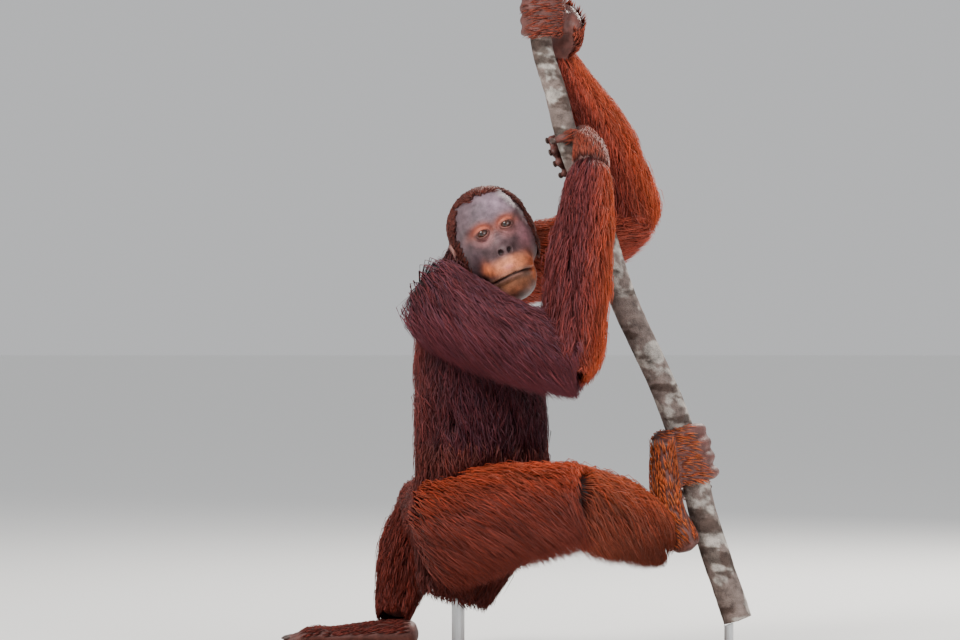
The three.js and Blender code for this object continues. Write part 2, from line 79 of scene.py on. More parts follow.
# The joints of the body, as in the solids
SHOULDER_R = (-124, -118, 628)
ELBOW_R = (98, -196, 535)
WRIST_R = (135, -62, 852)
SHOULDER_L = (-8, 96, 686)
ELBOW_L = (208, 144, 776)
WRIST_L = (78, 46, 1050)
HIP_R = (-112, -76, 246)
KNEE_R = (105, -200, 300)
ANKLE_R = (246, -58, 246)
HIP_L = (-78, 78, 226)
KNEE_L = (-146, 286, 258)
ANKLE_L = (-200, 172, 86)
TRUNK_AXIS = [
    (-70, 22, 646),
    (-76, 8, 606),
    (-62, 0, 547),
    (-50, 0, 454),
    (-48, 0, 369),
    (-56, 0, 284),
    (-74, 0, 205),
    (-88, 0, 150),
]
TRUNK_GIRTHS = [
    (60, 46),
    (104, 74),
    (118, 92),
    (118, 99),
    (119, 101),
    (116, 98),
    (104, 86),
    (70, 62),
]

# The head: x to its right, y forward and z up from its centre
HEAD_CENTRE = (-37, -12, 750)
HEAD_YAW = 6
HEAD_PITCH = -4
HEAD_ROLL = 23
HEAD_CORE = np.array([0.0, 14.0, -28.0])
HEAD_MASSES = [
    ((0, -10, 2), (66, 76, 62)),
    ((0, 30, 16), (46, 36, 40)),
    ((23, 50, 11), (24, 15, 9)),
    ((-23, 50, 11), (24, 15, 9)),
    ((0, 34, -40), (40, 40, 46)),
    ((38, 18, -40), (28, 36, 44)),
    ((-38, 18, -40), (28, 36, 44)),
    ((0, 54, -76), (41, 46, 29)),
    ((0, 44, -106), (36, 46, 29)),
    ((0, 4, -98), (46, 44, 38)),
    ((0, 76, -44), (13, 13, 11)),
]
HEAD_BLEND = 15
NOSE_AIM = (0, 0.93, -0.37)
SOCKETS = [((21.5, 74, -6), (16, 17, 12)), ((-21.5, 74, -6), (16, 17, 12))]
SOCKET_BLEND = 9
EYE = (21.5, 58, -6)
EYE_RADIUS = 11
LID = 2.4
LID_OPENING = (10.5, 5.2)
NOSTRIL = (8.2, 88, -46)
NOSTRIL_SIZE = (5.0, 9, 5.6)
MOUTH_Z = -86
MOUTH_DROOP = 5
MOUTH_HALF = 38
EAR = (71, -10, -24)
EAR_SIZE = (6, 12, 19)


def srgb(red, green, blue):
    """A linear colour from 0 to 255 screen values."""
    c = np.array([red, green, blue]) / 255
    return np.where(c <= 0.04045, c / 12.92, ((c + 0.055) / 1.055) ** 2.4)


# The hair's colour at its root and tip, for each part of the coat. These are partly the hair's own colour and
# partly painted light: painted shade darkens the back and the near arm, and painted backlight lightens the
# far arm, far forearm and foot.
HAIR = {
    "crown": (srgb(46, 22, 22), srgb(118, 58, 48)),
    "neck": (srgb(44, 20, 22), srgb(104, 54, 54)),
    "back": (srgb(32, 13, 18), srgb(82, 36, 44)),
    "rump": (srgb(42, 18, 19), srgb(112, 52, 46)),
    "near_arm": (srgb(44, 19, 25), srgb(108, 50, 58)),
    "near_forearm": (srgb(54, 24, 27), srgb(132, 62, 62)),
    "far_arm": (srgb(78, 31, 26), srgb(176, 78, 60)),
    "far_forearm": (srgb(72, 30, 27), srgb(170, 76, 64)),
    "near_thigh": (srgb(50, 22, 22), srgb(134, 60, 48)),
    "near_shin": (srgb(56, 25, 22), srgb(150, 72, 52)),
    "far_leg": (srgb(50, 20, 19), srgb(132, 56, 46)),
    "foot": (srgb(92, 38, 26), srgb(206, 104, 56)),
    "hand": (srgb(70, 31, 27), srgb(160, 76, 56)),
}
# The way that some parts' sunlit side faces, and the hair there
SUNLIT = {
    "near_forearm": ((1, 0, 0.2), (srgb(96, 34, 20), srgb(216, 92, 48))),
    "near_arm": ((-0.5, 0, 1), (srgb(58, 29, 35), srgb(132, 76, 84))),
    "near_thigh": ((0.1, 0.1, 1), (srgb(92, 32, 18), srgb(206, 82, 44))),
    "near_shin": ((0.1, 0.1, 1), (srgb(96, 34, 18), srgb(218, 96, 50))),
    "back": ((-1, 0.1, 0.2), (srgb(52, 22, 22), srgb(128, 62, 58))),
    "far_arm": ((0.8, 0, 0.6), (srgb(110, 40, 22), srgb(226, 104, 60))),
    "far_forearm": ((1, 0, 0), (srgb(110, 40, 22), srgb(222, 98, 56))),
}
UNDER_COAT = srgb(38, 17, 16)
# The places along a tuft that give its bend
TUFT_SHARES = (0.0, 0.52, 1.0)
# How far hair may hang past the end of its limb
END_REACH = 32
HEAD_TUFTS = 14000
BARE_HAND = srgb(96, 56, 50)
EAR_TONE = srgb(138, 92, 84)


def catmull_rom(points, share, centripetal):
    """Points along a smooth curve through the given points, at shares from 0 to 1."""
    p = np.array(points, float)
    spans = len(p) - 1
    place = np.clip(share, 0, 1) * spans
    i = np.minimum(place.astype(int), spans - 1)
    t = (place - i)[:, None]
    q = np.vstack([2 * p[0] - p[1], p, 2 * p[-1] - p[-2]])
    p0, p1, p2, p3 = q[i], q[i + 1], q[i + 2], q[i + 3]
    if centripetal:
        d0, d1, d2 = (
            np.maximum(np.sum((b - a) ** 2, 1, keepdims=True) ** 0.25, 1e-4)
            for a, b in ((p0, p1), (p1, p2), (p2, p3))
        )
        t1 = d1 * ((p1 - p0) / d0 - (p2 - p0) / (d0 + d1) + (p2 - p1) / d1)
        t2 = d1 * ((p2 - p1) / d1 - (p3 - p1) / (d1 + d2) + (p3 - p2) / d2)
    else:
        t1, t2 = (p2 - p0) / 2, (p3 - p1) / 2
    return (
        p1
        + t1 * t
        + (-3 * p1 + 3 * p2 - 2 * t1 - t2) * t**2
        + (2 * p1 - 2 * p2 + t1 + t2) * t**3
    )


def unit(vectors):
    return vectors / np.maximum(np.linalg.norm(vectors, axis=-1, keepdims=True), 1e-9)


class Limb:
    """A bent tube of oval section, as in the solids. Its angle 0 lies towards facing."""

    def __init__(self, points, girths, facing, caps=(0, 0)):
        shares = np.linspace(0, 1, 401)
        self.path = catmull_rom(points, shares, True)
        steps = np.linalg.norm(np.diff(self.path, axis=0), axis=1)
        self.reach = np.concatenate([[0], np.cumsum(steps)])
        self.length = self.reach[-1]
        self.girths = catmull_rom(girths, shares, False)
        self.facing = unit(np.array(facing, float))
        self.caps = caps

    def frame(self, along):
        inside = np.clip(along, 0, self.length)
        centre = np.stack([np.interp(inside, self.reach, self.path[:, k]) for k in range(3)], -1)
        step = self.length / 200
        ahead = np.clip(inside + step, 0, self.length)
        behind = np.clip(inside - step, 0, self.length)
        onward = unit(
            np.stack(
                [
                    np.interp(ahead, self.reach, self.path[:, k])
                    - np.interp(behind, self.reach, self.path[:, k])
                    for k in range(3)
                ],
                -1,
            )
        )
        centre = centre + onward * (along - inside)[..., None]
        front = unit(self.facing - onward * (onward @ self.facing)[..., None])
        side = np.cross(front, onward)
        share = inside / self.length * 400
        wide = np.interp(share, np.arange(401), self.girths[:, 0])
        deep = np.interp(share, np.arange(401), self.girths[:, 1])
        return centre, onward, front, side, wide, deep

    def point(self, along, angle, height=0.0, share=1.0):
        centre, _, front, side, wide, deep = self.frame(along)
        forward = ((deep + height) * share * np.cos(angle))[..., None]
        sideways = ((wide + height) * share * np.sin(angle))[..., None]
        return centre + front * forward + side * sideways


pole = Limb(POLE_AXIS, [(r, r) for r in POLE_RADII], (0, -1, 0))


def round_pole(height, degrees, off):
    """A point round the pole, where 0 degrees faces the viewer and 90 is on the right."""
    near = np.argmin(np.abs(pole.path[:, 2] - height))
    place = pole.point(np.array([pole.reach[near]]), np.array([math.radians(-degrees)]), off)
    return tuple(place[0])


def digit(height, start, end, radius, tip=0.72, climb=0, lead=()):
    """A finger or toe that leaves its knuckle and winds round the pole."""
    points = list(lead)
    for i in range(6):
        share = i / 5
        thin = radius * (1 + (tip - 1) * share)
        points.append(round_pole(height + climb * share, start + (end - start) * share, thin + 1))
    girths = [radius * r for r in (1, 1.04, 0.92, 0.95, 0.82, tip)]
    return Limb(points, [(r, r) for r in girths], (0.3, 0.2, 1), (radius * 0.8, radius * tip))


MIDDLE_FINGER = 11
FINGER_PITCH = 18.5
THUMB = 9.5
MIDDLE_TOE = 13.5
TOE_PITCH = 24
KNUCKLE_OFF = 15


def finger_radius(i):
    return MIDDLE_FINGER - 0.7 * abs(i - 1)


def left_hand():
    """The palm and digits of the upper hand, whose fingers cross the front of the pole."""
    palm = Limb(
        [WRIST_L, (98, 34, 1078), (104, 12, 1104)],
        [(25, 20), (36, 19), (38, 16)],
        (0.9, 0.1, 0.4),
        (14, 14),
    )
    fingers = []
    for i in range(4):
        height = 1136 - FINGER_PITCH * i
        knuckle = round_pole(height, 84, KNUCKLE_OFF)
        fingers.append(digit(height, 50, -150 + 12 * abs(i - 1), finger_radius(i), lead=[knuckle]))
    return palm, [*fingers, digit(1122, 150, 228, THUMB, lead=[(100, 34, 1094)])]


def right_hand():
    """The palm and digits of the lower hand, whose fingers go behind the pole."""
    palm = Limb(
        [WRIST_R, (137, -46, 872), (138, -24, 884)],
        [(31, 27), (37, 22), (38, 18)],
        (0.8, -0.6, 0.3),
        (14, 14),
    )
    fingers = []
    for i in range(4):
        height = 904 - FINGER_PITCH * i
        knuckle = round_pole(898 - 16 * i, 78, KNUCKLE_OFF)
        fingers.append(digit(height, 112, 272 - 12 * abs(i - 1), finger_radius(i), lead=[knuckle]))
    return palm, [*fingers, digit(900, 22, -48, THUMB, lead=[(128, -44, 884)])]


def right_foot():
    """The sole and toes of the foot that grips the pole."""
    sole = Limb(
        [(296, -34, 216), (272, -36, 262), (262, -38, 318), (258, -40, 376)],
        [(30, 27), (33, 26), (38, 24), (40, 19)],
        (-1, 0, -0.3),
        (20, 14),
    )
    toes = []
    for i in range(4):
        radius = MIDDLE_TOE - 0.6 * abs(i - 2)
        knuckle = round_pole(330 + 22 * i, -98, KNUCKLE_OFF)
        toes.append(digit(328 + TOE_PITCH * i, -70, 128 - 6 * i, radius, climb=-6, lead=[knuckle]))
    return sole, [*toes, digit(300, -140, -212, THUMB, lead=[(270, -14, 300)])]


def left_foot():
    """The sole and toes of the foot that stands on the board."""
    sole = Limb(
        [(-176, 158, 44), (-226, 164, 43), (-276, 172, 40), (-314, 178, 37)],
        [(28, 25), (31, 24), (37, 20), (38, 17)],
        (0, 0, 1),
        (20, 12),
    )
    toes = []
    for i in range(4):
        across, long = 150 + 19 * i, 84 - 5 * abs(i - 1.4)
        bends = [(-306, across, 38), (-306 - long * 0.45, across + 2, 42)]
        bends += [(-306 - long * 0.8, across + 4, 34), (-306 - long, across + 5, 30)]
        toes.append(Limb(bends, [(12, 12), (12.5, 12.5), (11, 11), (9, 9)], (0, 0, 1), (8, 8)))
    big_toe = Limb(
        [(-250, 196, 38), (-268, 222, 33), (-288, 236, 31)],
        [(11, 11), (11, 11), (9, 9)],
        (0, 0, 1),
        (8, 8),
    )
    return sole, [*toes, big_toe]


trunk = Limb(TRUNK_AXIS, TRUNK_GIRTHS, (0.88, -0.48, 0), (20, 34))
neck = Limb(
    [(-74, 22, 636), (-60, 28, 690), (-42, 26, 738)],
    [(54, 50), (46, 44), (44, 42)],
    (1, -0.4, 0),
    (20, 20),
)
upper_arm_right = Limb(
    [SHOULDER_R, (-16, -166, 572), ELBOW_R],
    [(60, 58), (54, 52), (47, 46)],
    (0, -1, 0.3),
    (52, 36),
)
forearm_right = Limb(
    [ELBOW_R, (116, -142, 690), WRIST_R],
    [(46, 46), (50, 48), (46, 43), (36, 32)],
    (1, 0, 0),
    (38, 10),
)
upper_arm_left = Limb(
    [SHOULDER_L, (110, 126, 714), ELBOW_L],
    [(60, 58), (54, 52), (48, 46)],
    (0, -1, 0.3),
    (50, 36),
)
forearm_left = Limb(
    [ELBOW_L, (160, 104, 912), WRIST_L],
    [(48, 48), (47, 46), (36, 35), (24, 24)],
    (1, 0, 0),
    (38, 10),
)
thigh_right = Limb([HIP_R, (0, -146, 282), KNEE_R], [(76, 68), (66, 60), (52, 50)], (0, -1, 0), (44, 34))
shin_right = Limb([KNEE_R, (178, -140, 278), ANKLE_R], [(51, 49), (46, 44), (31, 33)], (0, -1, 0.3), (36, 16))
thigh_left = Limb([HIP_L, (-116, 186, 252), KNEE_L], [(74, 66), (64, 58), (50, 48)], (-1, 0, 0), (40, 34))
shin_left = Limb([KNEE_L, (-178, 236, 178), ANKLE_L], [(49, 48), (44, 43), (30, 31)], (-1, 0, 0), (34, 14))

# Each piece of the coat: the limb it grows on, from low to high along it, and the way it lies, which is
# 1 from the limb's first point to its last and -1 back. The skin lies inset deep, end_inset at the far end.
COATS = {
    "coat_torso": dict(
        limb=trunk, low=-14, high=240, lie=1, count=14700,
        length=74, inset=15, droop=0, hair="back", width=1.15,
    ),
    "coat_pelvis": dict(
        limb=trunk, low=240, high=520, lie=1, count=14700,
        length=70, inset=15, droop=8, hair="rump", width=1.15,
    ),
    "coat_neck": dict(
        limb=neck, low=10, high=112, lie=-1, count=4500,
        length=48, inset=10, droop=0, hair="neck",
    ),
    "coat_upper_arm_right": dict(
        limb=upper_arm_right, low=-52, high=250, lie=1, count=14100,
        length=74, inset=14, droop=26, hair="near_arm",
    ),
    "coat_forearm_right": dict(
        limb=forearm_right, low=-16, high=366, lie=-1, count=15100,
        length=70, inset=13, droop=8, hair="near_forearm", end_inset=8,
    ),
    "coat_upper_arm_left": dict(
        limb=upper_arm_left, low=-50, high=215, lie=1, count=11500,
        length=62, inset=14, droop=10, hair="far_arm",
    ),
    "coat_forearm_left": dict(
        limb=forearm_left, low=-16, high=372, lie=-1, count=14700,
        length=66, inset=13, droop=6, hair="far_forearm", end_inset=4,
    ),
    "coat_thigh_right": dict(
        limb=thigh_right, low=-44, high=265, lie=1, count=14700,
        length=74, inset=14, droop=42, hair="near_thigh",
    ),
    "coat_shin_right": dict(
        limb=shin_right, low=-36, high=195, lie=1, count=9600,
        length=70, inset=12, droop=44, hair="near_shin", end_inset=5,
    ),
    "coat_thigh_left": dict(
        limb=thigh_left, low=-26, high=230, lie=1, count=9600,
        length=72, inset=14, droop=28, hair="far_leg",
    ),
    "coat_shin_left": dict(
        limb=shin_left, low=-34, high=215, lie=1, count=8300,
        length=64, inset=12, droop=0, hair="far_leg", end_inset=5,
    ),
}


def coat_depth(limb, along, inset, end_inset):
    """How deep the skin lies under the solids, thinner towards a wrist or ankle."""
    ease = np.clip((along / limb.length - 0.45) / 0.5, 0, 1)
    ease = ease * ease * (3 - 2 * ease)
    return inset * (1 - ease) + end_inset * ease


def ball(bm, sides, rings, shape):
    """Adds a closed ball. shape gives its points by the turn round its axis and the share along it."""
    made = bmesh.ops.create_grid(bm, x_segments=sides, y_segments=rings, size=1)["verts"]
    spots = np.array([vert.co[:] for vert in made])
    for vert, place in zip(made, shape(spots[:, 0] * math.pi, (spots[:, 1] + 1) / 2) * MM):
        vert.co = place
    faces = list({face for vert in made for face in vert.link_faces})
    bmesh.ops.remove_doubles(bm, verts=made, dist=1e-6)
    faces = [face for face in faces if face.is_valid]
    bmesh.ops.recalc_face_normals(bm, faces=faces)


def tube(bm, limb, sides, rings, inset=0.0, roughen=None, end_inset=None):
    """Adds a limb's closed surface to a bmesh."""
    end_inset = inset if end_inset is None else end_inset
    start, end = max(limb.caps[0] - inset, 0), max(limb.caps[1] - end_inset, 0)

    def shape(angle, polar):
        along = -start + polar * (limb.length + start + end)
        past_start = np.clip(-along / max(start, 1e-6), 0, 1)
        past_end = np.clip((along - limb.length) / max(end, 1e-6), 0, 1)
        share = np.sqrt(np.clip(1 - past_start**2 - past_end**2, 0, 1))
        share[(polar < 1e-6) | (polar > 1 - 1e-6)] = 0
        height = -coat_depth(limb, along, inset, end_inset) + (roughen(along, angle) if roughen else 0.0)
        return limb.point(along, angle, height, share)

    ball(bm, sides, rings, shape)


def new_object(name, mesh):
    made = bpy.data.objects.new(name, mesh)
    bpy.context.scene.collection.objects.link(made)
    return made


def object_of(name, bm):
    mesh = bpy.data.meshes.new(name)
    bm.to_mesh(mesh)
    bm.free()
    return new_object(name, mesh)


def places(mesh):
    flat = np.empty(len(mesh.vertices) * 3, np.float32)
    mesh.vertices.foreach_get("co", flat)
    return flat.reshape(-1, 3)


def paint(mesh, name, colours):
    attribute = mesh.color_attributes.new(name, "FLOAT_COLOR", "POINT")
    full = np.ones((len(mesh.vertices), 4), np.float32)
    full[:, :3] = np.clip(colours, 0, 1)
    attribute.data.foreach_set("color", full.ravel())


def smooth_faces(mesh):
    mesh.polygons.foreach_set("use_smooth", np.ones(len(mesh.polygons), bool))


def mass_depth(p, at, radii):
    q = p - np.array(at, float)
    r = np.array(radii, float)
    far = np.linalg.norm(q / r, axis=1)
    steep = np.linalg.norm(q / r**2, axis=1)
    return far * (far - 1) / np.maximum(steep, 1e-6)


def blend_near(a, b, blend):
    mix = np.maximum(blend - np.abs(a - b), 0) / blend
    return np.minimum(a, b) - mix * mix * blend * 0.25


def head_field(p):
    """Below 0 inside the head, with its lids and nostrils."""
    field = mass_depth(p, *HEAD_MASSES[0])
    for at, radii in HEAD_MASSES[1:]:
        field = blend_near(field, mass_depth(p, at, radii), HEAD_BLEND)
    for at, radii in SOCKETS:
        field = -blend_near(-field, mass_depth(p, at, radii), SOCKET_BLEND)
    for side in (-1, 1):
        eye = np.array([side * EYE[0], EYE[1], EYE[2]])
        away = np.linalg.norm(p - eye, axis=1)
        field = blend_near(field, away - EYE_RADIUS - LID, 3.5)
        slant = (p - eye) @ np.array([[1, 0, 0.12 * side], [0, 1, 0], [-0.12 * side, 0, 1]])
        opening = mass_depth(slant, (0, EYE_RADIUS + LID, 0.4), (LID_OPENING[0], 13, LID_OPENING[1]))
        field = -blend_near(-field, opening, 0.8)
        field = np.maximum(field, -(away - EYE_RADIUS + 1.6))
        nostril = (side * NOSTRIL[0], NOSTRIL[1], NOSTRIL[2])
        field = -blend_near(-field, mass_depth(p, nostril, NOSTRIL_SIZE), 2)
    return field


def bell(value, width):
    return np.exp(-((value / width) ** 2))


def over_mouth(x, z):
    """The height over the line where the lips meet."""
    return z - (MOUTH_Z - MOUTH_DROOP * (x / MOUTH_HALF) ** 2)


def face_relief(p):
    """How far the lips, creases and wrinkles rise over the head's plain surface."""
    x, y, z = p.T
    front = 1 / (1 + np.exp(-(y - 52) / 3))
    line = over_mouth(x, z)
    within = 1 / (1 + np.exp((np.abs(x) - MOUTH_HALF) / 1.5))
    lips = 1.5 * bell(line - 5, 4) + 1.7 * bell(line + 5.5, 4.5) - 3.4 * bell(line, 1.3)
    relief = front * within * lips
    relief += front * 0.22 * np.sin(x * 1.5 + 2 * np.sin(z * 0.11)) * bell(line - 11, 9)
    for side in (-1, 1):
        dx, dz = x - side * EYE[0], z - EYE[2]
        far = np.hypot(dx, dz * 1.2)
        ring = np.clip((far - 11) / 3, 0, 1) * bell(far - 16, 9)
        relief += np.where(y > 30, ring * np.where(dz < 0, 0.55, 0.3) * np.sin(far * 1.75), 0)
        relief -= 1.0 * front * bell(np.hypot(dx + side * 2, (z + 58) * 0.5), 6) * 0.6
    relief += np.where(y > 20, 0.3 * np.sin(z * 0.75 + 1.2 * np.sin(x * 0.09)) * bell(z - 28, 16), 0)
    relief += np.where(y > 55, 0.35 * np.sin(z * 1.1 + x * 0.12) * bell(x, 9) * bell(z + 16, 14), 0)
    return relief


def head_reach(direction):
    """The distance from the head's core to its surface along each unit direction."""
    count = len(direction)
    outer = np.full(count, 160.0)
    open_ways = np.ones(count, bool)
    while open_ways.any():
        ways = np.where(open_ways)[0]
        outside = head_field(HEAD_CORE + direction[ways] * outer[ways, None]) > 0
        open_ways[ways[~outside]] = False
        outer[ways[outside]] -= 3
        open_ways &= outer > 3
    inner = outer.copy()
    outer = outer + 3
    for _ in range(10):
        middle = (inner + outer) / 2
        outside = head_field(HEAD_CORE + direction * middle[:, None]) > 0
        outer = np.where(outside, middle, outer)
        inner = np.where(outside, inner, middle)
    return inner


HEAD_MATRIX = (
    Matrix.Translation(HEAD_CENTRE)
    @ Matrix.Rotation(math.radians(-HEAD_ROLL), 4, "Y")
    @ Matrix.Rotation(math.pi + math.radians(HEAD_YAW), 4, "Z")
    @ Matrix.Rotation(math.radians(HEAD_PITCH), 4, "X")
)
HEAD_TURN = np.array(HEAD_MATRIX.to_3x3())
HEAD_PLACE = np.array(HEAD_CENTRE, float)


def in_head(p):
    return p @ HEAD_TURN.T + HEAD_PLACE


# Oval patches of colour on the face: tone, strength, centre and half size, across and up the face. The first
# brow patch is a painted highlight on the forehead.
BROW_PATCHES_AND_HIGHLIGHT = [
    # a painted highlight on the forehead
    (srgb(152, 128, 142), 0.9, (-14, 34), (30, 20)),
    (srgb(80, 62, 72), 0.75, (16, 27), (15, 11)),
    (srgb(92, 72, 82), 0.6, (-6, 26), (7, 12)),
]
CHEEK_PATCHES = [
    (srgb(70, 52, 58), 0.85, (46, -50), (16, 42)),
    (srgb(140, 92, 100), 0.8, (-44, -34), (14, 26)),
]
CHIN_PATCHES = [
    (srgb(168, 100, 66), 0.85, (0, -112), (34, 14)),
    (srgb(234, 112, 44), 0.95, (-37, -92), (10, 22)),
    (srgb(220, 112, 60), 0.7, (36, -66), (8, 12)),
]
FACE_TONE = srgb(96, 77, 82)
MIDDLE_BAND = srgb(88, 66, 68)
UPPER_LID = srgb(186, 92, 62)
LOWER_LID = srgb(160, 96, 84)
EYE_BAG = srgb(158, 104, 104)
LID_EDGE = srgb(66, 40, 38)
NOSE_BRIDGE = srgb(84, 60, 64)
NOSE_TIP = srgb(92, 68, 70)
MUZZLE = srgb(214, 126, 84)
PHILTRUM = srgb(206, 116, 112)
UPPER_LIP = srgb(216, 150, 122)
LOWER_LIP = srgb(158, 108, 82)
# painted shade in the crease where the lips meet
LIP_LINE_SHADE = srgb(30, 16, 14)
# painted shade in the nostril openings
NOSTRIL_SHADE = srgb(34, 22, 22)


def face_colours(p):
    """The bare face's colours by place, in the head's own frame, with a painted highlight on the brow and
    painted shade in the lip line and the nostrils.
    """
    x, y, z = p.T
    colour = np.tile(FACE_TONE, (len(p), 1))
    face = 1 / (1 + np.exp(-(y - 20) / 5))
    line = over_mouth(x, z)
    lips = face / (1 + np.exp((np.abs(x) - MOUTH_HALF - 2) / 2))

    def oval(centre, size):
        return np.hypot((x - centre[0]) / size[0], (z - centre[1]) / size[1])

    def lay(tone, weight):
        nonlocal colour
        w = np.clip(weight, 0, 1)[:, None]
        colour = colour * (1 - w) + tone * w

    def lay_patches(patches):
        for tone, strength, centre, size in patches:
            lay(tone, strength * face * bell(oval(centre, size), 1))

    # the brow's patches, the first a painted highlight on the forehead
    lay_patches(BROW_PATCHES_AND_HIGHLIGHT)
    lay(MIDDLE_BAND, 0.9 * face * bell(z + 44, 22))
    lay_patches(CHEEK_PATCHES)
    for side in (-1, 1):
        dx, dz = x - side * EYE[0], z - EYE[2]
        arch = dz + 0.012 * dx**2
        lay(UPPER_LID, 0.95 * face * bell(np.hypot(dx / 19, (arch - 9) / 8.5), 1))
        lay(LOWER_LID, 0.8 * face * bell(np.hypot(dx / 16, (dz + 3) / 10), 1))
        lay(EYE_BAG, 0.8 * face * bell(np.hypot(dx / 16, (dz + 15) / 7), 1))
        lay(LID_EDGE, 0.8 * face * bell(np.hypot(dx / 11.5, dz / 6.2) - 1, 0.2))
    lay(NOSE_BRIDGE, 0.7 * face * bell(x / 6.5, 1) * bell(z + 24, 16))
    lay(NOSE_TIP, 0.85 * face * bell(oval((0, -44), (17, 9)), 1))
    lay(MUZZLE, 0.97 * face * bell(oval((0, -70), (37, 15)) ** 2, 1))
    lay(PHILTRUM, 0.7 * face * bell(oval((6, -72), (8, 4)), 1))
    lay(UPPER_LIP, 0.6 * lips * bell(line - 3.5, 3))
    lay(LOWER_LIP, 0.95 * lips * bell(line + 13, 11))
    lay_patches(CHIN_PATCHES)
    # painted shade along the crease where the lips meet
    lay(LIP_LINE_SHADE, 0.95 * lips * bell(line, 1.5))
    for side in (-1, 1):
        # painted shade in each nostril opening
        lay(NOSTRIL_SHADE, 0.9 * face * bell(oval((side * NOSTRIL[0], NOSTRIL[2]), (4.6, 5)), 1))
    return colour


def toned_mesh(name, bm, tones):
    """A mesh in the head's own frame, with colours by place."""
    mesh = bpy.data.meshes.new(name)
    bm.to_mesh(mesh)
    bm.free()
    p = (places(mesh).astype(float) / MM - HEAD_PLACE) @ HEAD_TURN
    paint(mesh, "Tone", tones(p))
    return mesh, p


def head_mesh():
    """The head, whose rings of points start close together at the nose and spread to the nape."""
    turn = np.array(Vector((0, 0, 1)).rotation_difference(Vector(NOSE_AIM).normalized()).to_matrix())

    def shape(angle, polar):
        spread = math.pi * (0.55 * polar + 0.45 * polar**2.4)
        local = np.stack([np.sin(spread) * np.cos(angle), np.sin(spread) * np.sin(angle), np.cos(spread)], 1)
        direction = local @ turn.T
        p = HEAD_CORE + direction * head_reach(direction)[:, None]
        return in_head(p + direction * face_relief(p)[:, None])

    bm = bmesh.new()
    ball(bm, 220, 150, shape)
    return toned_mesh("head", bm, face_colours)


def ear_mesh(side):
    """An ear with a hollow on its outer side."""

    def shape(angle, polar):
        turn = polar * math.pi
        q = np.stack([np.cos(turn) * side, np.sin(turn) * np.cos(angle), np.sin(turn) * np.sin(angle)], 1)
        across = np.sin(turn)
        hollow = np.where(polar < 0.5, 1 - 1.25 * np.exp(-((across / 0.62) ** 4)), 1)[:, None]
        q[:, :1] *= hollow
        return in_head(np.array([side * EAR[0], EAR[1], EAR[2]]) + q * np.array(EAR_SIZE, float))

    bm = bmesh.new()
    ball(bm, 36, 28, shape)
    return toned_mesh("ear", bm, lambda p: np.tile(EAR_TONE, (len(p), 1)))[0]


def colour_node(tree, name):
    node = tree.nodes.new("ShaderNodeVertexColor")
    node.layer_name = name
    return node


def principled(name, roughness, metallic=0.0, specular=0.5, coat=0.0):
    material = bpy.data.materials.new(name)
    material.use_nodes = True
    tree = material.node_tree
    shader = tree.nodes["Principled BSDF"]
    shader.inputs["Roughness"].default_value = roughness
    shader.inputs["Metallic"].default_value = metallic
    shader.inputs["Specular IOR Level"].default_value = specular
    shader.inputs["Coat Weight"].default_value = coat
    return material, tree, shader


def mottle_group():
    """A shader group that varies a colour in patches and fine grain."""
    group = bpy.data.node_groups.new("Mottle", "ShaderNodeTree")
    face = group.interface
    face.new_socket("Color", in_out="INPUT", socket_type="NodeSocketColor")
    for name in ("Patch Scale", "Grain Scale", "Strength"):
        face.new_socket(name, in_out="INPUT", socket_type="NodeSocketFloat")
    face.new_socket("Color", in_out="OUTPUT", socket_type="NodeSocketColor")
    face.new_socket("Height", in_out="OUTPUT", socket_type="NodeSocketFloat")
    nodes, links = group.nodes, group.links
    enter, leave = nodes.new("NodeGroupInput"), nodes.new("NodeGroupOutput")
    where = nodes.new("ShaderNodeTexCoord")
    patch, grain = nodes.new("ShaderNodeTexNoise"), nodes.new("ShaderNodeTexNoise")
    patch.inputs["Detail"].default_value = 5
    grain.inputs["Detail"].default_value = 4
    for texture, scale in ((patch, "Patch Scale"), (grain, "Grain Scale")):
        links.new(where.outputs["Object"], texture.inputs["Vector"])
        links.new(enter.outputs[scale], texture.inputs["Scale"])
    both = nodes.new("ShaderNodeMath")
    both.operation = "MULTIPLY_ADD"
    links.new(grain.outputs["Fac"], both.inputs[0])
    both.inputs[1].default_value = 0.5
    links.new(patch.outputs["Fac"], both.inputs[2])
    level = nodes.new("ShaderNodeMapRange")
    level.inputs["From Min"].default_value = 0.5
    level.inputs["From Max"].default_value = 1.0
    level.inputs["To Min"].default_value = -1.0
    level.inputs["To Max"].default_value = 1.0
    links.new(both.outputs[0], level.inputs["Value"])
    gain = nodes.new("ShaderNodeMath")
    gain.operation = "MULTIPLY_ADD"
    links.new(level.outputs["Result"], gain.inputs[0])
    links.new(enter.outputs["Strength"], gain.inputs[1])
    gain.inputs[2].default_value = 1.0
    scaled = nodes.new("ShaderNodeVectorMath")
    scaled.operation = "SCALE"
    links.new(enter.outputs["Color"], scaled.inputs[0])
    links.new(gain.outputs[0], scaled.inputs["Scale"])
    links.new(scaled.outputs["Vector"], leave.inputs["Color"])
    links.new(grain.outputs["Fac"], leave.inputs["Height"])
    return group


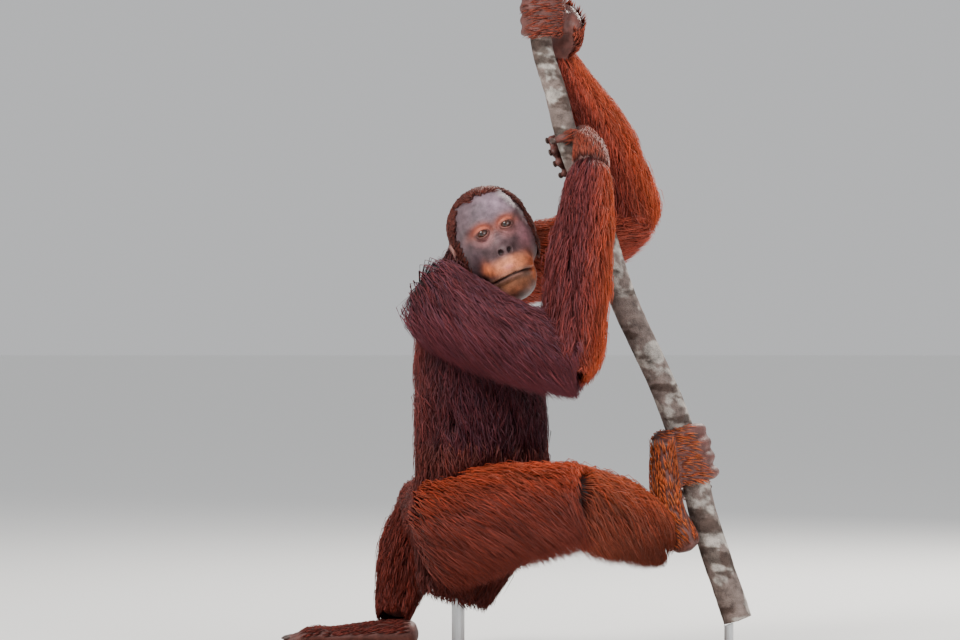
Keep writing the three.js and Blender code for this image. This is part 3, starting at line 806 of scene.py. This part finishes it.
def mottled(tree, shader, colour, patch, grain, strength, bump):
    """Feeds a mottled colour to the shader, and the grain to a bump of the given strength and height."""
    group = tree.nodes.new("ShaderNodeGroup")
    group.node_tree = bpy.data.node_groups["Mottle"]
    group.inputs["Patch Scale"].default_value = patch
    group.inputs["Grain Scale"].default_value = grain
    group.inputs["Strength"].default_value = strength
    if isinstance(colour, np.ndarray):
        group.inputs["Color"].default_value = (*colour, 1)
    else:
        tree.links.new(colour, group.inputs["Color"])
    tree.links.new(group.outputs["Color"], shader.inputs["Base Color"])
    if bump:
        relief = tree.nodes.new("ShaderNodeBump")
        relief.inputs["Strength"].default_value = bump[0]
        relief.inputs["Distance"].default_value = bump[1]
        tree.links.new(group.outputs["Height"], relief.inputs["Height"])
        tree.links.new(relief.outputs["Normal"], shader.inputs["Normal"])
    return group


def skin_material():
    material, tree, shader = principled("Skin", 0.5, specular=0.4)
    mottled(tree, shader, colour_node(tree, "Tone").outputs["Color"], 75, 640, 0.5, (0.5, 0.0014))
    return material


def hair_material():
    material, tree, shader = principled("Hair", 0.58, specular=0.2)
    tree.links.new(colour_node(tree, "Tint").outputs["Color"], shader.inputs["Base Color"])
    return material


def bark_material():
    material, tree, shader = principled("Bark", 0.9, specular=0.2)
    mottled(tree, shader, colour_node(tree, "Tone").outputs["Color"], 70, 520, 0.5, (0.8, 0.002))
    return material


def eye_material():
    material, tree, shader = principled("Eye", 0.3, specular=0.4, coat=0.45)
    shader.inputs["Coat Roughness"].default_value = 0.03
    tree.links.new(colour_node(tree, "Tone").outputs["Color"], shader.inputs["Base Color"])
    return material


def nail_material():
    material, tree, shader = principled("Nail", 0.35)
    mottled(tree, shader, srgb(70, 52, 46), 90, 500, 0.3, None)
    return material


def wood_material():
    material, tree, shader = principled("Board", 0.42)
    mottled(tree, shader, srgb(104, 74, 52), 6, 60, 0.25, (0.1, 0.0005))
    return material


def steel_material():
    material, _, shader = principled("Steel", 0.32, metallic=0.9)
    shader.inputs["Base Color"].default_value = (0.55, 0.56, 0.57, 1)
    return material


# A tuft is closed and three-sided, with a ring at its root, a ring at its middle and one point at its tip
RING_SIZES = np.array([0.6, 1.0])
RING_CORNERS = np.array([(-1, -0.35), (1, -0.35), (0, 0.7)])
TUFT_POINTS = 7
TUFT_SIDES = [(a, (a + 1) % 3) for a in range(3)]
TUFT_FACES = np.array(
    [(0, 2, 1)]
    + [face for a, b in TUFT_SIDES for face in ((a, b, b + 3), (a, b + 3, a + 3))]
    + [(a + 3, b + 3, 6) for a, b in TUFT_SIDES]
)
POINT_SHARES = np.array([0, 0, 0, 0.5, 0.5, 0.5, 1])
POINT_COLUMNS = np.array([0, 1, 2, 0, 1, 2, 1])
# The size of a tuft's patch on the unwrap
PATCH_STEP = 0.001
PATCH_LENGTH = 0.003


def tufts_mesh(name, stations, across, out, half_width, thickness, tint, unwrap):
    """One mesh of tufts. stations is tufts x 3 x 3, from root to tip."""
    count = len(stations)
    rings = stations[:, :2, None, :]
    corner_wide, corner_tall = (RING_CORNERS[None, None, :, k, None] for k in range(2))
    wide = (half_width[:, None] * RING_SIZES)[:, :, None, None] * across[:, :2, None, :] * corner_wide
    tall = (thickness[:, None] * RING_SIZES)[:, :, None, None] * out[:, :2, None, :] * corner_tall
    ring_points = (rings + wide + tall).reshape(count, 6, 3)
    vertices = np.concatenate([ring_points, stations[:, 2:3]], 1).reshape(-1, 3) * MM
    corners_of = (TUFT_FACES[None] + TUFT_POINTS * np.arange(count)[:, None, None]).reshape(-1)
    mesh = bpy.data.meshes.new(name)
    mesh.vertices.add(len(vertices))
    mesh.vertices.foreach_set("co", vertices.astype(np.float32).ravel())
    mesh.loops.add(len(corners_of))
    mesh.loops.foreach_set("vertex_index", corners_of.astype(np.int32))
    mesh.polygons.add(len(corners_of) // 3)
    mesh.polygons.foreach_set("loop_start", np.arange(0, len(corners_of), 3, dtype=np.int32))
    mesh.update(calc_edges=True)
    smooth_faces(mesh)
    shares = POINT_SHARES[None, :, None]
    root, tip = tint
    colours = root[:, None] * (1 - shares) + tip[:, None] * shares
    paint(mesh, "Tint", colours.reshape(-1, 3))
    spread = np.stack([PATCH_STEP * POINT_COLUMNS, PATCH_LENGTH * POINT_SHARES], 1)
    spots = (unwrap[:, None] + spread[None]).reshape(-1, 2)
    layer = mesh.uv_layers.new(name="OFBake")
    layer.data.foreach_set("uv", spots[corners_of].astype(np.float32).ravel())
    return mesh


def along_stations(path):
    """The direction along a path of stations, at each station."""
    return unit(np.gradient(path, axis=1))


def on_unwrap(across, up):
    """A place on the unwrap for shares of 0 to 1, clear of its edges."""
    return np.stack([0.02 + 0.95 * across, 0.02 + 0.95 * up], 1)


def shades(hair, count, lift=None, out=None):
    """Root and tip colours for a number of tufts, each a little different."""
    root, tip = HAIR[hair]
    if out is not None and hair in SUNLIT:
        way, (lit_root, lit_tip) = SUNLIT[hair]
        lit = np.clip(out @ unit(np.array(way, float)), 0, 1)[:, None] ** 1.6
        root, tip = root * (1 - lit) + lit_root * lit, tip * (1 - lit) + lit_tip * lit
    depth = 1 + 0.22 * RNG.standard_normal((count, 1)).clip(-2, 2)
    warm = 0.12 * RNG.standard_normal((count, 1)).clip(-2, 2)
    shift = np.concatenate([1 + warm, 1 - 0.3 * warm, 1 - warm], 1)
    brighter = 1 if lift is None else lift[:, None]
    return root * depth * shift, tip * depth * shift * brighter


# The coat draws together into locks, in rows along a limb and columns round it
LOCK_ROW = 58.0
LOCK_COLUMNS = 13
# How far a root may lie from the skin, in metres, and how deep it starts in it
ROOT_REACH = 0.009
ROOT_SINK = 2
# No hair goes lower than this over the floor, just clear of the board
LOWEST_HAIR = 23
LOWEST_SHORT_HAIR = 22


def lock_of(along, angle):
    """The angle of the middle of each tuft's lock, and a number from 0 to 1 that is the lock's own."""
    row = np.round(along / LOCK_ROW + 0.35 * np.sin(angle * 5))
    column = np.round(angle / (2 * math.pi) * LOCK_COLUMNS + 0.5 * (row % 2))
    middle = (column - 0.5 * (row % 2)) / LOCK_COLUMNS * 2 * math.pi
    lock = np.sin(row * 12.9898 + column * 78.233) * 43758.5453
    return middle, lock - np.floor(lock)


def limb_roots(spec, skin_tree, start_cap):
    """Where the tufts of a limb grow: along it, round it, and the share of its girth there."""
    limb, inset = spec["limb"], spec["inset"]
    low = max(spec["low"], -start_cap)
    high = min(spec["high"], limb.length + limb.caps[1])
    along = RNG.uniform(low, high, spec["count"])
    angle = RNG.uniform(-math.pi, math.pi, spec["count"])
    past = np.maximum(-along / start_cap, (along - limb.length) / max(limb.caps[1], 1))
    share = np.sqrt(np.clip(1 - np.clip(past, 0, 1) ** 2, 0.0004, 1))
    depth = coat_depth(limb, along, inset, spec.get("end_inset", inset))
    roots = limb.point(along, angle, -depth - 1, share)
    keep = np.array([skin_tree.find_nearest(Vector(p * MM))[3] < ROOT_REACH for p in roots])
    return along[keep], angle[keep], share[keep]


def limb_tufts(spec, skin_tree):
    """Tufts that follow a limb's own surface, drawn together into locks towards their tips."""
    limb, lie, inset = spec["limb"], spec["lie"], spec["inset"]
    start_cap = max(limb.caps[0] - inset, 1)
    along, angle, share = limb_roots(spec, skin_tree, start_cap)
    count = len(along)
    _, onward, front, side, _, _ = limb.frame(along)
    level = np.hypot(onward[:, 0], onward[:, 1])
    under = np.arctan2(-side[:, 2], -front[:, 2])
    twist = 0.5 * level * np.sin(under - angle)
    facing_up = np.cos(angle) * front[:, 2] + np.sin(angle) * side[:, 2]
    hang = spec["droop"] * (0.6 - 0.4 * facing_up)
    depth = coat_depth(limb, along, inset, spec.get("end_inset", inset))
    length = spec["length"] * RNG.uniform(0.6, 1.15, count) * (0.45 + 0.55 * depth / inset)
    middle, lock = lock_of(along, angle)
    pull = 0.5 * (middle - angle)
    sway = 0.3 * (lock - 0.5) + RNG.normal(0, 0.11, count)
    tip_height = 7 + 7 * lock + RNG.normal(0, 3, count)
    room = np.maximum(limb.length - along if lie > 0 else along, 0)
    on_cap = (along < 0) & (lie > 0)
    bulge = (start_cap + limb.girths[0].mean() - inset) / 2
    tilt = np.arccos(np.clip(-along / start_cap, 0, 1))
    quarter = math.pi / 2
    stations, outs = [], []
    for s in TUFT_SHARES:
        over_end = np.maximum(length * s - room, 0)
        bent = END_REACH * (1 - np.exp(-over_end / END_REACH))
        gone = length * s - over_end + bent
        at = along + lie * gone
        past_end = np.maximum(at - limb.length if lie > 0 else -at, 0)
        rise = (depth + ROOT_SINK + (tip_height - 6) * depth / inset) * min(1.9 * s, 1.0) ** 0.8
        height = rise - depth - ROOT_SINK - 0.3 * past_end
        turn = angle + twist * s + (pull + sway) * s * s
        lean = tilt + gone / bulge
        dome = -(start_cap + height + depth) * np.cos(lean)
        at = np.where(on_cap, np.where(lean < quarter, dome, (lean - quarter) * bulge), at)
        wide = np.where(on_cap, np.sin(np.minimum(lean, quarter)), share + (1 - share) * 0.7 * s)
        place = limb.point(at, turn, height, wide)
        outs.append(unit(limb.point(at, turn, height + 1, wide) - place))
        place[:, 2] = np.maximum(place[:, 2] - hang * s * s, LOWEST_HAIR)
        stations.append(place)
    path, out = np.stack(stations, 1), np.stack(outs, 1)
    across = unit(np.cross(along_stations(path), out))
    half = RNG.uniform(0.6, 1.15, count) * spec.get("width", 1)
    tint = shades(spec["hair"], count, 0.85 + 0.3 * lock, out[:, 0])
    unwrap = on_unwrap(angle / (2 * math.pi) + 0.5, (along - along.min()) / np.ptp(along))
    return path, across, out, half, half * 0.75, tint, unwrap


def furred(name, parts, material):
    """An object of one or more sets of tufts."""
    joined = [np.concatenate([part[k] for part in parts]) for k in range(5)]
    tint = tuple(np.concatenate([part[5][k] for part in parts]) for k in range(2))
    unwrap = np.concatenate([part[6] for part in parts])
    made = new_object(name, tufts_mesh(name, *joined, tint, unwrap))
    made.data.materials.append(material)
    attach(made, "root")
    return made


def short_rise(share):
    """How far short hair stands off the skin at a share of its length."""
    return -1 + 4.5 * min(share * 1.6, 1.0)


def head_tufts(p, count):
    """Short hair over the crown, nape and cheeks, and none on the face."""
    x, y, z = p.T
    edge = 59 - 0.5 * np.clip(z - 10, 0, None) + 1.5 * np.sin(z * 0.4)
    bare = (y > -2) & (np.abs(x) < edge) & (z < 53 + 2 * np.sin(x * 0.35))
    weight = np.where(bare, 0.0, 1.0)
    weight *= np.linalg.norm(p - HEAD_CORE, axis=1) ** 2
    polar = np.arccos(np.clip(unit(p - HEAD_CORE) @ unit(np.array(NOSE_AIM)), -1, 1))
    weight *= np.clip(np.sin(polar), 0.02, 1) * np.clip(polar / math.pi, 0.1, 1) ** 0.7
    chosen = RNG.choice(len(p), count, p=weight / weight.sum())
    root = p[chosen] + RNG.normal(0, 0.9, (count, 3))
    normal = unit((root - np.array([0, -6, -14])) / np.array([66.0, 72, 84]) ** 2)
    x, y, z = root.T
    lie = np.stack([0.3 * x / 40, np.full(count, -0.75), -0.3 - 0.9 * np.abs(x) / 66], 1)
    lie[:, 2] = np.where(z < -10, -1.2, lie[:, 2])
    lie += RNG.normal(0, 0.16, (count, 3))
    flow = unit(lie - normal * np.sum(lie * normal, 1, keepdims=True))
    length = 13 + 14 * np.clip(-y / 50, 0, 1) + 12 * np.clip(-z / 80, 0, 1)
    length = length * RNG.uniform(0.6, 1.2, count)
    stations = []
    for s in TUFT_SHARES:
        rise = short_rise(s)
        sag = (length * s) ** 2 / 150
        stations.append(in_head(root + flow * (length * s)[:, None] + normal * (rise - sag)[:, None]))
    path = np.stack(stations, 1)
    out = np.repeat((normal @ HEAD_TURN.T)[:, None], len(TUFT_SHARES), 1)
    across = unit(np.cross(along_stations(path), out))
    half = RNG.uniform(0.7, 1.25, count)
    turn = np.arctan2(x, y + 10)
    unwrap = on_unwrap(turn / (2 * math.pi) + 0.5, np.clip((z + 140) / 215, 0, 1))
    return path, across, out, half, half * 0.8, shades("crown", count), unwrap


def short_tufts(limb, count, low, high, length, hair, outward, cell, width=1.0):
    """Short hair on the outer side of a palm, sole, finger or toe, and its cell of the unwrap."""
    along = RNG.uniform(low, high, count)
    angle = RNG.uniform(-math.pi, math.pi, count)
    centre = limb.frame(along)[0]
    place = limb.point(along, angle, 0)
    keep = np.sum(unit(place - centre) * unit(outward(place)), 1) > 0.15
    along, angle = along[keep], angle[keep]
    count = len(along)
    long = length * RNG.uniform(0.6, 1.2, count)
    stations, outs = [], []
    for s in TUFT_SHARES:
        at = along + long * s
        turn = angle + 0.1 * s * np.sin(angle * 3)
        p = limb.point(at, turn, short_rise(s))
        outs.append(unit(limb.point(at, turn, short_rise(s) + 1) - p))
        p[:, 2] = np.maximum(p[:, 2] - 0.25 * long * s * s, LOWEST_SHORT_HAIR)
        stations.append(p)
    path, out = np.stack(stations, 1), np.stack(outs, 1)
    across = unit(np.cross(along_stations(path), out))
    half = RNG.uniform(0.7, 1.2, count) * width
    column, row = cell
    part_round = angle / (2 * math.pi) + 0.5
    part_along = (along - low) / max(high - low, 1)
    unwrap = np.stack([0.02 + (column + 0.9 * part_round) / 6.3, 0.02 + (row + 0.9 * part_along) / 4.2], 1)
    return path, across, out, half, half * 0.8, shades(hair, count), unwrap


NAIL_LENGTH = 7.5
NAIL_THICKNESS = 2.6


def nails(extremities):
    """A curved nail on the back of each tip."""
    bm = bmesh.new()
    for limbs, gripping in extremities:
        for limb in limbs:
            centre, onward, _, _, wide, _ = (a[0] for a in limb.frame(np.array([limb.length - 1.0])))
            if gripping:
                near = pole.path[np.argmin(np.linalg.norm(pole.path - centre, axis=1))]
                out = unit(centre - near)
            else:
                out = np.array([0, 0, 1.0])
            out = unit(out - onward * (out @ onward))
            across = np.cross(onward, out)
            turn = np.eye(4)
            axes = [onward * NAIL_LENGTH, across * wide * 0.78, out * NAIL_THICKNESS]
            turn[:3, :3] = np.stack(axes, 1) * MM
            turn[:3, 3] = (centre + onward * 2 + out * wide * 0.8) * MM
            place = Matrix(turn.tolist())
            bmesh.ops.create_uvsphere(bm, u_segments=14, v_segments=10, radius=1, matrix=place)
    return object_of("nails", bm)


# The way the eyes look in the head's frame, and the angles from it where iris and pupil end
GAZE = (0.26, 1.0, 0.06)
IRIS_EDGE = 0.66
PUPIL_EDGE = 0.27
EYE_WHITE = srgb(62, 40, 36)
IRIS = srgb(64, 30, 16)
PUPIL = srgb(8, 5, 4)


def eye_object(name, side):
    """An eyeball with its cornea, dark white, iris and pupil."""
    bm = bmesh.new()
    bmesh.ops.create_uvsphere(bm, u_segments=48, v_segments=36, radius=1)
    made = object_of(name, bm)
    q = places(made.data).astype(float)
    ahead = np.arccos(np.clip(q @ unit(np.array(GAZE)), -1, 1))
    radius = EYE_RADIUS + 0.5 * bell(ahead, 0.5)
    p = np.array([side * EYE[0], EYE[1], EYE[2]]) + q * radius[:, None]
    made.data.vertices.foreach_set("co", (in_head(p) * MM).astype(np.float32).ravel())
    made.data.update()
    iris = np.clip((IRIS_EDGE - ahead) / 0.06, 0, 1)[:, None]
    pupil = np.clip((PUPIL_EDGE - ahead) / 0.05, 0, 1)[:, None]
    colour = EYE_WHITE * (1 - iris) + IRIS * iris
    colour = colour * (1 - pupil) + PUPIL * pupil
    paint(made.data, "Tone", colour)
    smooth_faces(made.data)
    return made


BARK = srgb(118, 104, 98)
PALE_BARK = srgb(168, 160, 152)
DARK_BARK = srgb(66, 52, 46)


def bark_object():
    """The pole's bark, uneven, with pale and dark patches."""

    def roughen(along, angle):
        spots = np.stack([along * 0.018, np.cos(angle) * 0.7, np.sin(angle) * 0.7], 1)
        fine = np.stack([along * 0.09, np.cos(angle) * 2.4, np.sin(angle) * 2.4], 1)
        waves = [0.8 * noise.noise(Vector(a)) + 0.5 * noise.noise(Vector(b)) for a, b in zip(spots, fine)]
        return np.array(waves) - 0.4

    bm = bmesh.new()
    tube(bm, pole, 64, 420, 0.0, roughen)
    made = object_of("bark", bm)
    smooth_faces(made.data)
    p = places(made.data).astype(float)
    pale = np.array([noise.fractal(Vector(q * 30), 1.0, 2.0, 5) for q in p])
    dark = np.array([noise.fractal(Vector(q * (14, 14, 40) + 7), 1.0, 2.0, 5) for q in p])
    w = np.clip((pale - 0.02) * 5, 0, 1)[:, None]
    d = np.clip((dark - 0.12) * 4, 0, 0.85)[:, None]
    colour = BARK * (1 - w) + PALE_BARK * w
    colour = colour * (1 - d) + DARK_BARK * d
    paint(made.data, "Tone", colour)
    return made


def remeshed(name, bm, voxel, iterations):
    """The outer surface of overlapping closed forms, as one smooth mesh."""
    draft = object_of(name + "_draft", bm)
    cover = draft.modifiers.new("cover", "REMESH")
    cover.mode = "VOXEL"
    cover.voxel_size = voxel
    ease = draft.modifiers.new("ease", "SMOOTH")
    ease.factor = 0.5
    ease.iterations = iterations
    graph = bpy.context.evaluated_depsgraph_get()
    mesh = bpy.data.meshes.new_from_object(draft.evaluated_get(graph))
    bpy.data.objects.remove(draft)
    return mesh


# The grid that the body's forms are joined on, in metres
BODY_GRID = 0.0048


def body_mesh(extremities):
    """The limbs, trunk, hands and feet as one surface, the coat's depth inside the solids."""
    bm = bmesh.new()
    done = []
    for spec in COATS.values():
        if spec["limb"] not in done:
            done.append(spec["limb"])
            tube(bm, spec["limb"], 40, 44, spec["inset"], end_inset=spec.get("end_inset"))
    for palm, digits in extremities:
        tube(bm, palm, 32, 26)
        for limb in digits:
            tube(bm, limb, 24, 40)
    return remeshed("body", bm, BODY_GRID, 3)


def skin_object(body, extremities):
    """The body, head and ears as one skin, with its colours."""
    p = places(body).astype(float) / MM
    bare = np.zeros((len(p), 1))
    for palm, digits in extremities:
        for limb in (palm, *digits):
            girth = limb.girths.max() + 6
            inside = np.all((p > limb.path.min(0) - girth) & (p < limb.path.max(0) + girth), axis=1)
            bare[inside] = 1
    paint(body, "Tone", UNDER_COAT * (1 - bare) + BARE_HAND * bare)
    head, head_places = head_mesh()
    bm = bmesh.new()
    for mesh in (body, head, ear_mesh(-1), ear_mesh(1)):
        bm.from_mesh(mesh)
    made = object_of("skin", bm)
    smooth_faces(made.data)
    return made, head_places


def area_light(name, place, target, size, watts, colour):
    light = bpy.data.lights.new(name, "AREA")
    light.shape = "DISK"
    light.size = size
    light.energy = watts
    light.color = colour
    made = new_object(name, light)
    made.location = place
    made.rotation_euler = (Vector(target) - Vector(place)).to_track_quat("-Z", "Y").to_euler()


# The camera looks level along y at the height of the photograph's middle
CAMERA_PLACE = (-0.051, -6.8, 0.590)
LENS = 150
SENSOR = 36
FLOOR_HALF = 60


def studio():
    """A pale floor under soft light, and the camera."""
    bm = bmesh.new()
    bmesh.ops.create_grid(bm, x_segments=2, y_segments=2, size=FLOOR_HALF)
    floor = object_of("studio_floor", bm)
    material, _, shader = principled("Studio", 0.85, specular=0.2)
    shader.inputs["Base Color"].default_value = (0.9, 0.9, 0.89, 1)
    floor.data.materials.append(material)
    world = bpy.data.worlds.new("Studio")
    world.use_nodes = True
    world.node_tree.nodes["Background"].inputs["Color"].default_value = (0.97, 0.98, 1.0, 1)
    world.node_tree.nodes["Background"].inputs["Strength"].default_value = 0.62
    bpy.context.scene.world = world
    area_light("key", (-2.2, -3.2, 3.4), (0, 0, 0.6), 1.6, 230, (1, 0.97, 0.93))
    area_light("fill", (2.8, -3.0, 1.6), (0, 0, 0.6), 2.4, 70, (0.95, 0.97, 1))
    area_light("back", (1.8, 2.6, 2.8), (0.1, 0, 0.7), 1.2, 190, (1, 0.95, 0.88))
    lens = bpy.data.cameras.new("camera")
    lens.lens = LENS
    lens.sensor_width = SENSOR
    camera = new_object("camera", lens)
    camera.location = CAMERA_PLACE
    camera.rotation_euler = (math.pi / 2, 0, 0)
    bpy.context.scene.camera = camera


def outward_from_pole(place):
    near = np.array([pole.path[np.argmin(np.abs(pole.path[:, 2] - z))] for z in place[:, 2]])
    return place - near


def outward_from_board(place):
    return np.tile(np.array([0.0, 0.0, 1.0]), (len(place), 1))


def main():
    for thing in list(bpy.data.objects):
        bpy.data.objects.remove(thing)
    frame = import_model()
    studio()
    mottle_group()
    extremities = [left_hand(), right_hand(), left_foot(), right_foot()]
    body = body_mesh(extremities)
    skin, head_places = skin_object(body, extremities)
    skin.data.materials.append(skin_material())
    tree = BVHTree.FromPolygons([v.co[:] for v in body.vertices], [p.vertices[:] for p in body.polygons])
    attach(skin, "root")
    others = ("perch_pole", "stand_", "eye_")
    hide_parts(*[name for name in frame["nodes"] if not name.startswith(others)])

    hair = hair_material()
    for name, spec in COATS.items():
        furred(name, [limb_tufts(spec, tree)], hair)
    furred("coat_head", [head_tufts(head_places, HEAD_TUFTS)], hair)
    short = []
    for row, ((palm, digits), style) in enumerate(zip(extremities, ("hand", "hand", "far_leg", "foot"))):
        outward = outward_from_board if row == 2 else outward_from_pole
        short.append(short_tufts(palm, 1500, -8, palm.length, 24, style, outward, (0, row)))
        for column, limb in enumerate(digits):
            reach = limb.length * 0.55
            short.append(short_tufts(limb, 260, 0, reach, 15, style, outward, (column + 1, row), 0.85))
    furred("coat_hands_feet", short, hair)

    bark = bark_object()
    bark.data.materials.append(bark_material())
    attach(bark, "root")
    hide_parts("perch_pole")
    wet = eye_material()
    for name, side in (("eye_right", 1), ("eye_left", -1)):
        eye = eye_object(f"{name}_ball", side)
        eye.data.materials.append(wet)
        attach(eye, "root")
        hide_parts(name)
    claws = nails([(digits, k != 2) for k, (_, digits) in enumerate(extremities)])
    claws.data.materials.append(nail_material())
    smooth_faces(claws.data)
    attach(claws, "root")
    for name, material in (
        ("stand_base", wood_material()),
        ("stand_rod_body", steel_material()),
        ("stand_rod_perch", steel_material()),
    ):
        frame["nodes"][name].data.materials.clear()
        frame["nodes"][name].data.materials.append(material)


main()
